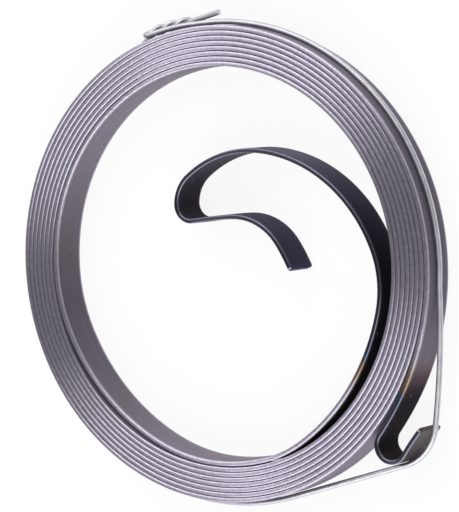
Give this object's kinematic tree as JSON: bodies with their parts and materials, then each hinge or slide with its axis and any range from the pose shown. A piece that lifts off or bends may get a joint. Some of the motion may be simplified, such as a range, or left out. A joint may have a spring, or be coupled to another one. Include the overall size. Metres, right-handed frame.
{
  "type": "recoil starter spring",
  "caption": "Flat steel strip wound into a tight pack, with a formed inner tail and a bent outer hook, held by a twisted tie wire; it rewinds a pull-cord starter.",
  "frame": {"origin": "on the axis of the wound pack, at the height of the strip's lower edge", "axes": "+Z along the pack's axis, upwards from the lower edges; +X and +Y are the picture's right and up, with the outer hook at +X -Y"},
  "size_m": [0.0821, 0.0836, 0.007],
  "materials": {
    "spring_steel": "rolled strip, lightly oiled, ends blued by tempering",
    "bright_wire": "bright drawn"
  },
  "bodies": {
    "root": {"spring_strip": "spring_steel", "tie_wire": "bright_wire"}
  },
  "joints": []
}
